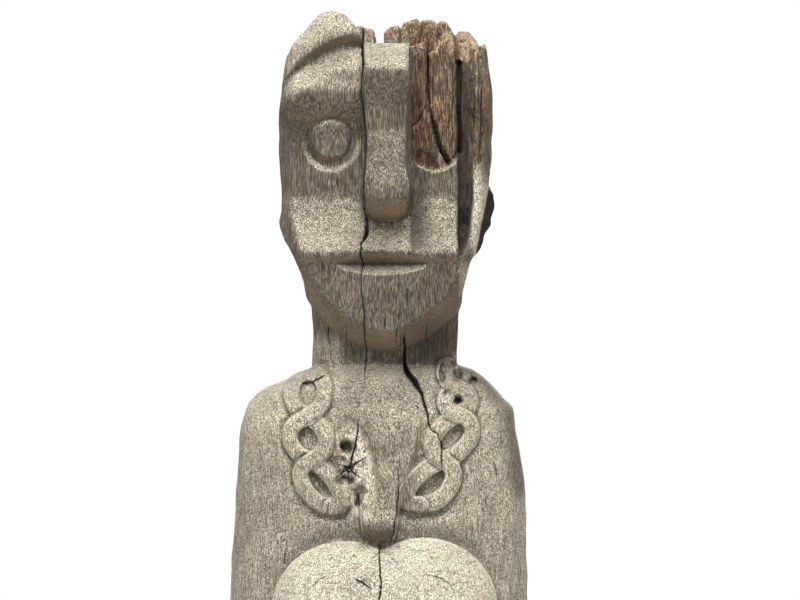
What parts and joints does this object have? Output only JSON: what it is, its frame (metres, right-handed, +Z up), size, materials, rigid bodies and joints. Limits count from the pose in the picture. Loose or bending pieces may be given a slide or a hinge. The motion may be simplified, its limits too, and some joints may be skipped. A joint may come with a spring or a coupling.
{
  "type": "guardian pole statue",
  "caption": "Standing guardian figure carved from one weathered hardwood log, with a mask-like face, a chain collar and a low round base.",
  "frame": {"origin": "centre of the base's underside, on the surface that it stands on", "axes": "+Z up along the log to the crown, -Y is the way the face looks, +X to the right as the picture shows it"},
  "size_m": [0.345, 0.3105, 1.5339],
  "materials": {
    "weathered_wood": "bleached grey-brown hardwood, dry and rough, with open checks, fibrous red-brown rot and dark cracks"
  },
  "bodies": {
    "root": {"guardian_figure": "weathered_wood"}
  },
  "joints": []
}
